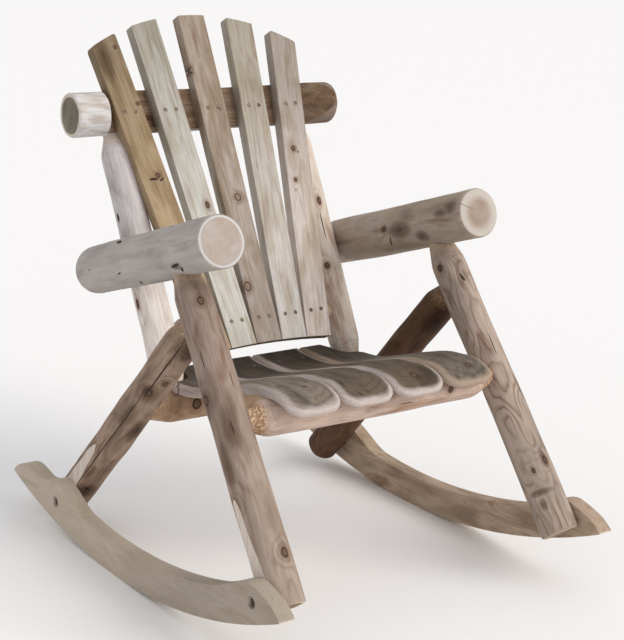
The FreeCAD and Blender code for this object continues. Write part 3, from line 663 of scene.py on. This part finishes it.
RAILS = (
    ("front_seat_rail", FRONT_RAIL, FRONT_RAIL_STATIONS, 0.037, dict(
        tones=("a68d7e", "c3aa9b", "ceb7a8", "b18f79"), seed=22.0, ring_strength=0.35, cone_tone="977252",
        cone_share=0.9, knots=[(0.169, 2, 0.0055, 0.0050)],
        slits=[(0.06, 20, 0.0008, 0.016), (-0.10, -30, 0.0009, 0.02)])),
    ("rear_seat_rail", REAR_RAIL, REAR_RAIL_STATIONS, 0.035, dict(
        tones=("8f7158", "ae9176", "bb9f84", "9a7757"), seed=24.0, ring_strength=0.4, cone_tone="c8a684",
        knots=[(-0.196, -6, 0.0085, 0.0085), (0.10, 170, 0.006, 0.007)])),
    ("lower_back_rail", LOWER_RAIL, LOWER_RAIL_STATIONS, 0.030, dict(
        tones=("9c8f84", "b5a699", "c4b3a5", "ab9488"), seed=26.0, cone_tone="c8a684",
        knots=[(0.05, 180, 0.006, 0.007)])),
    ("top_back_rail", TOP_RAIL, TOP_RAIL_STATIONS, 0.0455, dict(
        tones=("bcb2ad", "c7bfb8", "d6d5d5", "baada4"), seed=28.0, ring_strength=0.35, rim_tone="cdc0b2",
        end_tones=("6e685c", "857d6e"),
        knots=[(-0.140, 51, 0.0065, 0.0070), (0.148, 0, 0.006, 0.008), (0.02, 160, 0.007, 0.009)],
        slits=[(0.285, 12, 0.0012, 0.022), (0.20, 30, 0.001, 0.02)],
        # the rail is tinted darker towards its end on the chair's left: painted shade there, with weathering
        # as well
        stains=[(-0.14, 50, 0.016, 0.018), (0.15, 0, 0.02, 0.02)], shade_fade=(-0.24, 0.16, "ffffff", "a39284"))),
)
sawn_flat = cedar("sawn_flat_face", axes(TOP_RAIL, ACROSS, OUT_OF_BACK),
                  ("5d4735", "765e49", "8b7562", "523a2c"), 31.0, pith=(-0.02, 0.004, 0.0, 0.02), ring=0.0042,
                  ring_strength=0.4, ring_wobble=0.007, streaks=0.3)
BACK_PLACE = axes(BACK_ORIGIN, UP_THE_BACK, ACROSS)
RAIL_FLAT_REACH = 0.252
for name, middle, stations, radius, look in RAILS:
    place = axes(middle, ACROSS, AHEAD)
    finish = cedar(name + "_cedar", place, radius=radius, **look)
    rail = peeled(name, place, stations, finish, look["seed"], bend=0.0018, rough=0.0020,
                  swells=[(k[0], k[1], 0.03, 0.002) for k in look["knots"]])
    if name == "top_back_rail":
        low, high = (-RAIL_FLAT_REACH, -0.09, -0.3), (RAIL_FLAT_REACH, SLAT_THICKNESS, 0.7)
        cut_away(rail, block(low, high, BACK_PLACE, sawn_flat))
        # at its left end the flat runs out in a long slope
        slope = Matrix.Translation((0.251, SLAT_THICKNESS, 0)) @ Matrix.Rotation(math.radians(-30), 4, "Z")
        cut_away(rail, block((-0.01, -0.1, -0.3), (0.25, 0.0, 0.7), BACK_PLACE @ slope, sawn_flat))
    finish_log(rail, name)

# ---- rockers ----

# the top edge as (distance along the curve, rise as a share of the plank's depth)
ROCKER_TOP = [(-0.520, 0.0), (-0.5186, 0.09), (-0.508, 0.39), (-0.4945, 0.61), (-0.473, 0.88),
              (-0.451, 1.1), (-0.430, 1.165), (-0.401, 1.14), (-0.356, 1.05), (-0.326, 1.008),
              (-0.306, 1.0), (-0.13, 1.0), (0.05, 1.0), (0.210, 1.0), (0.228, 1.008), (0.247, 1.06),
              (0.285, 1.23), (0.320, 1.37), (0.340, 1.4), (0.365, 1.3), (0.390, 1.06), (0.418, 0.9),
              (0.440, 0.89), (0.480, 0.82), (0.508, 0.62), (0.528, 0.34), (0.539, 0.08), (0.541, 0.0)]


# the bolts' heads lie in wells, at (distance along the curve, height above it)
ROCKER_BOLTS = ((-0.442, 0.039), (0.342, 0.045))
WELL_RADIUS = 0.0115
WELL_DEPTH = 0.011


def eased(points, step):
    """More points on a smooth line through the given ones, closer together where it turns fast."""
    out = []
    for n in range(len(points) - 1):
        before, a, b = points[max(n - 1, 0)], points[n], points[n + 1]
        after = points[min(n + 2, len(points) - 1)]
        parts = min(20, max(2, math.ceil((b[0] - a[0]) / step)))
        for k in range(parts):
            t = k / parts
            line = []
            for p, q, r, s in zip(before, a, b, after):
                line.append(0.5 * (2 * q + (r - p) * t + (2 * p - 5 * q + 4 * r - s) * t * t
                                   + (3 * q - p - 3 * r + s) * t ** 3))
            out.append(tuple(line))
    return out + [points[-1]]


def curve_point(station, rise):
    angle = station / ROCKER_RADIUS
    reach = ROCKER_RADIUS - rise
    return Vector((0, reach * math.sin(angle), ROCKER_RADIUS - reach * math.cos(angle)))


def rocker_plank(name, side, finish):
    """A strip of plank laid along the curve column by column, then drawn out to its thickness."""
    top = [(s, max(rise, 0.012) * ROCKER_DEPTH) for s, rise in eased(ROCKER_TOP, 0.012)]
    take_none()
    count = len(top)
    bpy.ops.mesh.primitive_grid_add(x_subdivisions=1, y_subdivisions=count - 1, size=1)
    plank = bpy.context.object
    bpy.ops.object.mode_set(mode="EDIT")
    mesh = bmesh.from_edit_mesh(plank.data)
    bottom_row = sorted((v for v in mesh.verts if v.co.x < 0), key=lambda v: v.co.y)
    top_row = sorted((v for v in mesh.verts if v.co.x > 0), key=lambda v: v.co.y)
    inner = side * HALF_TRACK
    for low, high, (station, rise) in zip(bottom_row, top_row, top):
        low.co = curve_point(station, 0) + ACROSS * inner
        high.co = curve_point(station, rise) + ACROSS * inner
    bmesh.update_edit_mesh(plank.data)
    bpy.ops.mesh.select_mode(type="FACE")
    bpy.ops.mesh.select_all(action="SELECT")
    bpy.ops.mesh.extrude_region_move(TRANSFORM_OT_translate={"value": (side * ROCKER_THICKNESS, 0, 0)})
    close_up()
    plank.data.materials.append(finish)
    set_down(plank, TO_ROW, name)
    for station, rise in ROCKER_BOLTS:
        well = TO_ROW @ Matrix.Translation(curve_point(station, rise)) @ Matrix.Rotation(math.pi / 2, 4, "Y")
        face = inner + side * ROCKER_THICKNESS
        low, high = sorted((face - side * WELL_DEPTH, face + side * 0.01))
        cut_away(plank, drum(WELL_RADIUS, low, high, well, finish, 40))
    modify(plank, "BEVEL", width=0.0022, segments=3, limit_method="ANGLE", angle_limit=math.radians(38))
    return plank


ROCKERS = {
    "left_rocker": dict(
        tones=("937e6b", "ab9680", "baa591", "96785f"), seed=33.0, pith=(0.30, -0.10, 0.0, 0.0),
        ring_strength=0.32, streaks=0.12,
        knots=[(-0.255, 0.030, 0.0058, 0.0080)], stains=[(-0.25, 0.035, 0.03, 0.02)]),
    "right_rocker": dict(
        tones=("b6a996", "bfb19f", "c4b7a6", "b8a994"), seed=36.0, pith=(-0.30, -0.12, 0.0, 0.0),
        ring_strength=0.10, streaks=0.07, shade_fade=(-0.2, 0.1, "e0e0e0", "ffffff"),
        knots=[(-0.06, 0.040, 0.0014, 0.0020)], slits=[(0.0, 0.058, 0.0012, 0.003)]),
}
for name, side in (("left_rocker", 1), ("right_rocker", -1)):
    look = ROCKERS[name]
    place = TO_ROW @ Matrix.Rotation(-math.pi / 2, 4, "X")
    finish = cedar(name + "_cedar", place, ring=0.0045, ring_wobble=0.006, end_tones=("d3c4b5", "efe4d9"),
                   **look)
    plank = rocker_plank(name, side, finish)
    soften(plank, 34)
    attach(plank, "root")
    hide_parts(name)

# ---- back slats ----

# each slat is tinted darker towards its top: painted shade, where less light falls on the upper back
SLATS = (
    ("back_slat_far_right", -0.1272, -8.2, "golden_slat", dict(
        tones=("8e7754", "aa9273", "baa384", "a08562"), seed=41.0, pith=(0.02, 0.06, 0.012, 0.0),
        knots=[(0.328, 0.003, 0.0045, 0.0045), (0.611, 0.014, 0.0028, 0.0032),
               (0.484, 0.017, 0.0032, 0.0030)],
        slits=[(0.322, -0.010, 0.009, 0.0022, 12), (0.318, 0.008, 0.006, 0.0016, -25)],
        stains=[(0.60, -0.02, 0.02, 0.06)], shade_fade=(0.15, 0.60, "ffffff", "c1c1c1"))),
    ("back_slat_right", -0.0634, -4.5, "pale_slat", dict(
        tones=("b1ad9e", "c8c3b8", "d3d3cd", "b9b19f"), seed=43.0, pith=(-0.01, 0.07, 0.010, 0.0),
        knots=[(0.252, 0.012, 0.0045, 0.0065)], shade_fade=(0.10, 0.60, "ffffff", "cbc8c2"))),
    ("back_slat_centre", 0.0, 0.0, "pink_slat", dict(
        tones=("867562", "a09183", "b1a69d", "927d6d"), seed=45.0, pith=(0.012, 0.05, 0.014, 0.0),
        knots=[(0.265, 0.008, 0.0068, 0.0070), (0.068, -0.022, 0.0075, 0.0090),
               (0.552, -0.031, 0.0025, 0.007), (0.462, 0.017, 0.0020, 0.0030)],
        knot_tones=("8f7a6a", "4a3a2f"), shade_fade=(0.15, 0.60, "ffffff", "efeae1"))),
    ("back_slat_left", 0.0634, 4.5, "pale_slat", dict(
        tones=("b2a597", "cac3b9", "d7d3cf", "bba998"), seed=47.0, pith=(0.015, 0.055, -0.012, 0.0),
        shade_fade=(0.10, 0.50, "ffffff", "c6c1b5"))),
    ("back_slat_far_left", 0.1272, 8.2, "pink_slat", dict(
        tones=("b7a595", "cdbfb0", "ded4cd", "c0ab9b"), seed=49.0, pith=(-0.012, 0.06, 0.008, 0.0),
        knots=[(0.365, 0.000, 0.0046, 0.0054), (0.358, 0.012, 0.0014, 0.0016),
               (0.293, -0.003, 0.0035, 0.0042), (0.270, -0.006, 0.0010, 0.0014)],
        shade_fade=(0.10, 0.50, "ffffff", "bdbbb7"))),
)


SCREW_WELL_RADIUS = 0.0046
SCREW_WELL_DEPTH = 0.0026
SLAT_SCREW_SPREAD = 0.013


def screw_well(board, head, finish):
    """Room for a screw's head, whose face is flush with the board."""
    cut_away(board, drum(SCREW_WELL_RADIUS, -SCREW_WELL_DEPTH, 0.02, head, finish, 24))


def slat(name, foot, lean, finish):
    """A tapered board, cut to the crown and the foot arc of the whole back, with every edge eased."""
    take_none()
    length = SLAT_CROWN_HEIGHT + SLAT_FOOT_DROP + 0.04
    bpy.ops.mesh.primitive_cube_add(size=1, location=(0, SLAT_THICKNESS / 2, length / 2 - 0.02),
                                    scale=(SLAT_FOOT_WIDTH, SLAT_THICKNESS, length))
    board = bpy.context.object
    bpy.ops.object.transform_apply(location=True, rotation=False, scale=True)
    bpy.ops.object.mode_set(mode="EDIT")
    choose("verts", lambda v: v.co.z > length / 2)
    grown = SLAT_HEAD_WIDTH / SLAT_FOOT_WIDTH
    bpy.ops.transform.resize(value=(grown, 1, 1), center_override=(0, 0, length))
    bpy.ops.object.mode_set(mode="OBJECT")
    board.data.materials.append(finish)
    leaned = Matrix.Translation((foot, 0, -SLAT_FOOT_DROP)) @ Matrix.Rotation(math.radians(lean), 4, "Y")
    set_down(board, leaned, name)
    through = Matrix.Rotation(-math.pi / 2, 4, "X")
    crown = Matrix.Translation((0, 0, SLAT_CROWN_HEIGHT - SLAT_CROWN_RADIUS)) @ through
    cut_away(board, drum(SLAT_CROWN_RADIUS, -0.05, 0.09, crown, finish, 512), "INTERSECT")
    under = Matrix.Translation((0, 0, -SLAT_FOOT_DROP - SLAT_FOOT_ARC)) @ through
    cut_away(board, drum(SLAT_FOOT_ARC, -0.05, 0.09, under, finish, 1024))
    bpy.ops.object.mode_set(mode="EDIT")
    choose("edges", lambda e: e.verts[0].co.z > 0.3 and abs(e.verts[0].co.y - e.verts[1].co.y) > 0.01
           and e.calc_face_angle(0) > math.radians(40))
    bpy.ops.mesh.bevel(offset=SLAT_CORNER, segments=6, offset_type="OFFSET")
    close_up()
    modify(board, "BEVEL", width=0.0020, segments=3, limit_method="ANGLE", angle_limit=math.radians(40))
    for row in (0.0, SLAT_HEAD_ROW):
        middle = foot + (row + SLAT_FOOT_DROP) * math.tan(math.radians(lean))
        for side in (-SLAT_SCREW_SPREAD, SLAT_SCREW_SPREAD):
            head = Matrix.Translation((middle + side, 0, row)) @ Matrix.Rotation(math.pi / 2, 4, "X")
            screw_well(board, head, finish)
    set_down(board, BACK_PLACE, name)
    soften(board, 34)
    return board


for name, foot, lean, slot, look in SLATS:
    place = BACK_PLACE @ Matrix.Translation((foot, 0, 0)) @ Matrix.Rotation(math.radians(lean), 4, "Y")
    look.setdefault("ring", 0.0042)
    finish = cedar(name + "_cedar", place, ring_strength=0.34, ring_wobble=0.005, streaks=0.14,
                   end_tones=("8d7a66", "a8937c"), **look)
    board = slat(name, foot, lean, finish)
    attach(board, "root")
    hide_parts(name)

# ---- seat slats ----

# upper face in side view: shares of the overhang or of the span between the rails, and the rise there
SEAT_NOSE = ((1.0, -0.0310), (0.83, -0.0195), (0.68, -0.0108), (0.52, -0.0042), (0.34, -0.0005),
             (0.16, 0.0010))
SEAT_HOLLOW = ((0.0, 0.0), (0.125, 0.0050), (0.29, 0.0020), (0.44, -0.0030), (0.6, -0.0090),
               (0.74, -0.0130), (0.87, -0.0095), (1.0, 0.0))
SEAT_TAIL = ((0.5, 0.0030), (1.0, 0.0100))
SEAT_REAR = 0.062
# a slat lies a little way into each rail
FRONT_TOP = FRONT_RAIL.z + 0.037 - 0.001 + SEAT_THICKNESS
REAR_TOP = REAR_RAIL.z + 0.035 - 0.001 + SEAT_THICKNESS
SEAT_ROUND = 0.0120
SEAT_EASING = 0.0030
# the pale band along the edge, partly fresh routed wood and partly painted highlight, fades out over this
ROUTED_AND_HIGHLIGHT_REACH = 0.0200
SEAT_SCREW_SPREAD = 0.030
# beside a post, both rear screws stand nearer the middle of the seat
OUTER_SCREWS = (0.014, 0.048)


def seat_profile():
    span = REAR_RAIL.y - FRONT_RAIL.y
    line = [(FRONT_RAIL.y - SEAT_FRONT * reach, FRONT_TOP + rise) for reach, rise in SEAT_NOSE]
    line += [(FRONT_RAIL.y + span * share, FRONT_TOP + (REAR_TOP - FRONT_TOP) * share + rise)
             for share, rise in SEAT_HOLLOW]
    return line + [(REAR_RAIL.y + SEAT_REAR * reach, REAR_TOP + rise) for reach, rise in SEAT_TAIL]


def seat_guide():
    """The curve that a flat board is bent along: its x is the chair's y."""
    points = seat_profile()
    made = bpy.data.curves.new("seat_guide", "CURVE")
    made.dimensions = "3D"
    made.resolution_u = 32
    line = made.splines.new("BEZIER")
    line.bezier_points.add(len(points) - 1)
    for knob, (y, z) in zip(line.bezier_points, points):
        knob.co = (y, 0, z)
        knob.handle_left_type = knob.handle_right_type = "AUTO"
    guide = bpy.data.objects.new("seat_guide", made)
    bpy.context.scene.collection.objects.link(guide)
    bpy.context.view_layer.update()
    return guide, line.calc_length()


def seat_slat(name, low, finish):
    """A flat board with round front corners and router-rounded edges, bent along the seat's scooped line."""
    guide, length = seat_guide()
    take_none()
    bpy.ops.mesh.primitive_cube_add(size=1, location=(length / 2, 0, -SEAT_THICKNESS / 2),
                                    scale=(length, SEAT_SLAT_WIDTH, SEAT_THICKNESS))
    board = bpy.context.object
    bpy.ops.object.transform_apply(location=True, rotation=False, scale=True)
    bpy.ops.object.mode_set(mode="EDIT")
    choose("edges", lambda e: all(v.co.x < 0.001 for v in e.verts)
           and abs(e.verts[0].co.z - e.verts[1].co.z) > 0.01)
    bpy.ops.mesh.bevel(offset=SEAT_CORNER, segments=14, offset_type="OFFSET")
    choose("edges", lambda e: all(v.co.z > -0.001 for v in e.verts))
    bpy.ops.mesh.bevel(offset=SEAT_ROUND, segments=8, offset_type="OFFSET")
    choose("edges", lambda e: all(v.co.z < 0.001 - SEAT_THICKNESS for v in e.verts))
    bpy.ops.mesh.bevel(offset=SEAT_EASING, segments=3, offset_type="OFFSET")
    steps = 56
    for n in range(1, steps):
        bpy.ops.mesh.select_all(action="SELECT")
        bpy.ops.mesh.bisect(plane_co=(length * n / steps, 0, 0), plane_no=(1, 0, 0), threshold=0.00001)
    half = SEAT_SLAT_WIDTH / 2
    for inset in (0.016, 0.020, 0.026, half):
        for side in (-1, 1) if inset < half else (1,):
            bpy.ops.mesh.select_all(action="SELECT")
            bpy.ops.mesh.bisect(plane_co=(0, side * (half - inset), 0), plane_no=(0, 1, 0), threshold=0.00001)
    close_up()
    mesh = board.data
    # the pale edge band: partly fresh routed wood, partly painted highlight; it fades in from the outline on
    # the top, and the sides and underside are wholly pale
    edge = mesh.attributes.new("edge", "FLOAT", "POINT")
    values = []
    for v in mesh.vertices:
        # distance in from the outline, whose front corners are round
        side = half - abs(v.co.y)
        front = v.co.x
        if front < SEAT_CORNER and side < SEAT_CORNER:
            inward = SEAT_CORNER - math.hypot(SEAT_CORNER - front, SEAT_CORNER - side)
        else:
            inward = min(side, front)
        faded = min(max(inward / ROUTED_AND_HIGHLIGHT_REACH, 0.0), 1.0)
        values.append(1.0 - faded if v.co.z > -0.0125 else 1.0)
    edge.data.foreach_set("value", values)
    for v in mesh.vertices:
        ahead = max(0.0, 1 - v.co.x / SEAT_FRONT)
        v.co.z *= 1 - ahead * (1 - SEAT_TIP_THICKNESS / SEAT_THICKNESS)
    modify(board, "CURVE", object=guide, deform_axis="POS_X")
    board.data.materials.append(finish)
    bpy.data.objects.remove(guide)
    middle = Matrix.Translation((low + half, 0, 0)) @ Matrix.Rotation(math.pi / 2, 4, "Z")
    set_down(board, TO_ROW @ middle, name)
    outer = abs(low + half) > SEAT_SLAT_WIDTH
    if outer:
        clear_post(board, math.copysign(1, low), finish)
    inner_edge, outward = min(low, low + 2 * half, key=abs), math.copysign(1, low + half)
    even = [low + half - SEAT_SCREW_SPREAD, low + half + SEAT_SCREW_SPREAD]
    rear = [inner_edge + outward * inset for inset in OUTER_SCREWS] if outer else even
    for across in even:
        screw_well(board, TO_ROW @ Matrix.Translation((across, FRONT_RAIL.y, FRONT_TOP)), finish)
    for across in rear:
        screw_well(board, TO_ROW @ Matrix.Translation((across, REAR_RAIL.y, REAR_TOP)), finish)
    return board


def clear_post(board, side, finish):
    """Takes the rear outer corner off an outer slat and rounds it out beside the post."""
    place = axes(on_side(POST_FOOT, side), UP_THE_BACK, ACROSS)
    cut_away(board, drum(0.037, 0.0, 0.1435, place, finish, 64))
    corner = Vector((side * 0.242, REAR_RAIL.y + SEAT_REAR + 0.019, 0))
    slope = Vector((side * 0.088, -0.120, 0)).normalized()
    outward = Vector((-slope.y, slope.x, 0)) * (1 if side > 0 else -1)
    start = corner - ACROSS * side * 0.088
    turn = Matrix((slope, outward, Vector((0, 0, 1)))).transposed().to_4x4()
    beyond = TO_ROW @ Matrix.Translation(start) @ turn
    cut_away(board, block((-0.1, 0.0, 0.2), (0.3, 0.2, 0.6), beyond, finish))


SEATS = (
    ("seat_slat_far_right", -2, dict(
        tones=("554c41", "746a5e", "877d6f", "5c5042"), seed=53.0, knots=[(-0.27, 0.010, 0.0030, 0.0030)],
        pith=(0.00, -0.045, -0.10, 0.0))),
    ("seat_slat_right", -1, dict(
        tones=("463c2f", "5a4f40", "6a5e4f", "483c2f"), seed=55.0, pith=(0.004, -0.05, -0.08, 0.0))),
    ("seat_slat_left", 0, dict(
        tones=("46392b", "574a3a", "695b49", "493b2c"), seed=57.0, knots=[(-0.30, 0.0, 0.0050, 0.0055)],
        pith=(-0.004, -0.045, -0.12, 0.0))),
    ("seat_slat_far_left", 1, dict(
        tones=("4f4438", "675c52", "776d61", "554c45"), seed=59.0, knots=[(-0.295, 0.01, 0.0055, 0.0055)],
        slits=[(-0.22, 0.0, 0.002, 0.004)], pith=(0.006, -0.05, -0.06, 0.0), routed="a3917f")),
)
# the tone of the pale seat edges: fresh routed wood, with painted highlight
ROUTED_AND_HIGHLIGHT_TONE = "c0b5b0"
for name, count, look in SEATS:
    low = count * SEAT_PITCH + 0.0015
    middle = low + SEAT_SLAT_WIDTH / 2
    # the board's own frame: z runs back along the seat and y down through it
    place = TO_ROW @ Matrix.Translation((middle, 0, FRONT_TOP)) @ Matrix.Rotation(-math.pi / 2, 4, "X")
    look.setdefault("routed", ROUTED_AND_HIGHLIGHT_TONE)
    # the rear of each board is tinted darker: painted shade under the back
    finish = cedar(name + "_cedar", place, ring=0.0090, ring_strength=0.42, ring_wobble=0.008, streaks=0.14,
                   shade_fade=(-0.06, 0.10, "ffffff", "b4aeaf"), end_tones=("8d8071", "a2947f"), rough=0.72, **look)
    board = seat_slat(name, low, finish)
    soften(board, 40)
    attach(board, "root")
    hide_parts(name)

# ---- fastenings: the CAD's own bolts, washers and screws, with a real finish ----

dull_bolt = steel("dulled_zinc_bolt", "5b544c", "2c221b", 0.38)
dull_screw = steel("dulled_zinc_screw", "6a6259", "30261f", 0.34)
for name in ("rocker_bolts", "rocker_washers", "arm_bolts"):
    part = frame["nodes"][name]
    part.data.materials.clear()
    part.data.materials.append(dull_bolt)
for name in ("back_slat_screws", "seat_slat_screws"):
    part = frame["nodes"][name]
    part.data.materials.clear()
    part.data.materials.append(dull_screw)

# ---- floor, light and camera ----

take_none()
bpy.ops.mesh.primitive_plane_add(size=160, location=(0, 0, 0))
floor = bpy.context.object
floor.name = "floor"
paint = bpy.data.materials.new("matt_white_floor")
paint.use_nodes = True
shader = paint.node_tree.nodes["Principled BSDF"]
shader.inputs["Base Color"].default_value = linear("fbfbfb")
shader.inputs["Roughness"].default_value = 0.9
floor.data.materials.append(paint)

sun = bpy.data.lights.new("broad_window", "SUN")
sun.energy = 1.8
sun.angle = math.radians(40)
sun.color = linear("fffaf3")[:3]
made = bpy.data.objects.new("broad_window", sun)
made.rotation_euler = Vector((-0.42, 0.72, -0.52)).to_track_quat("-Z", "Y").to_euler()
bpy.context.scene.collection.objects.link(made)

world = bpy.data.worlds.new("pale_room")
bpy.context.scene.world = world
world.use_nodes = True
world.node_tree.nodes["Background"].inputs[0].default_value = linear("fdfdff")
world.node_tree.nodes["Background"].inputs[1].default_value = 0.70
bpy.context.scene.view_settings.view_transform = "Standard"

eye = bpy.data.cameras.new("camera")
eye.lens = 88.8
eye.sensor_width = 36.0
camera = bpy.data.objects.new("camera", eye)
yaw, pitch = math.radians(35.58), math.radians(-12.02)
look_along = Vector((math.sin(yaw) * math.cos(pitch), math.cos(yaw) * math.cos(pitch), math.sin(pitch)))
aim = look_along.to_track_quat("-Z", "Y").to_matrix().to_4x4()
camera.matrix_world = TO_ROW @ (Matrix.Translation((-1.8044, -2.5698, 1.1539)) @ aim)
bpy.context.scene.collection.objects.link(camera)
bpy.context.scene.camera = camera

take_none()
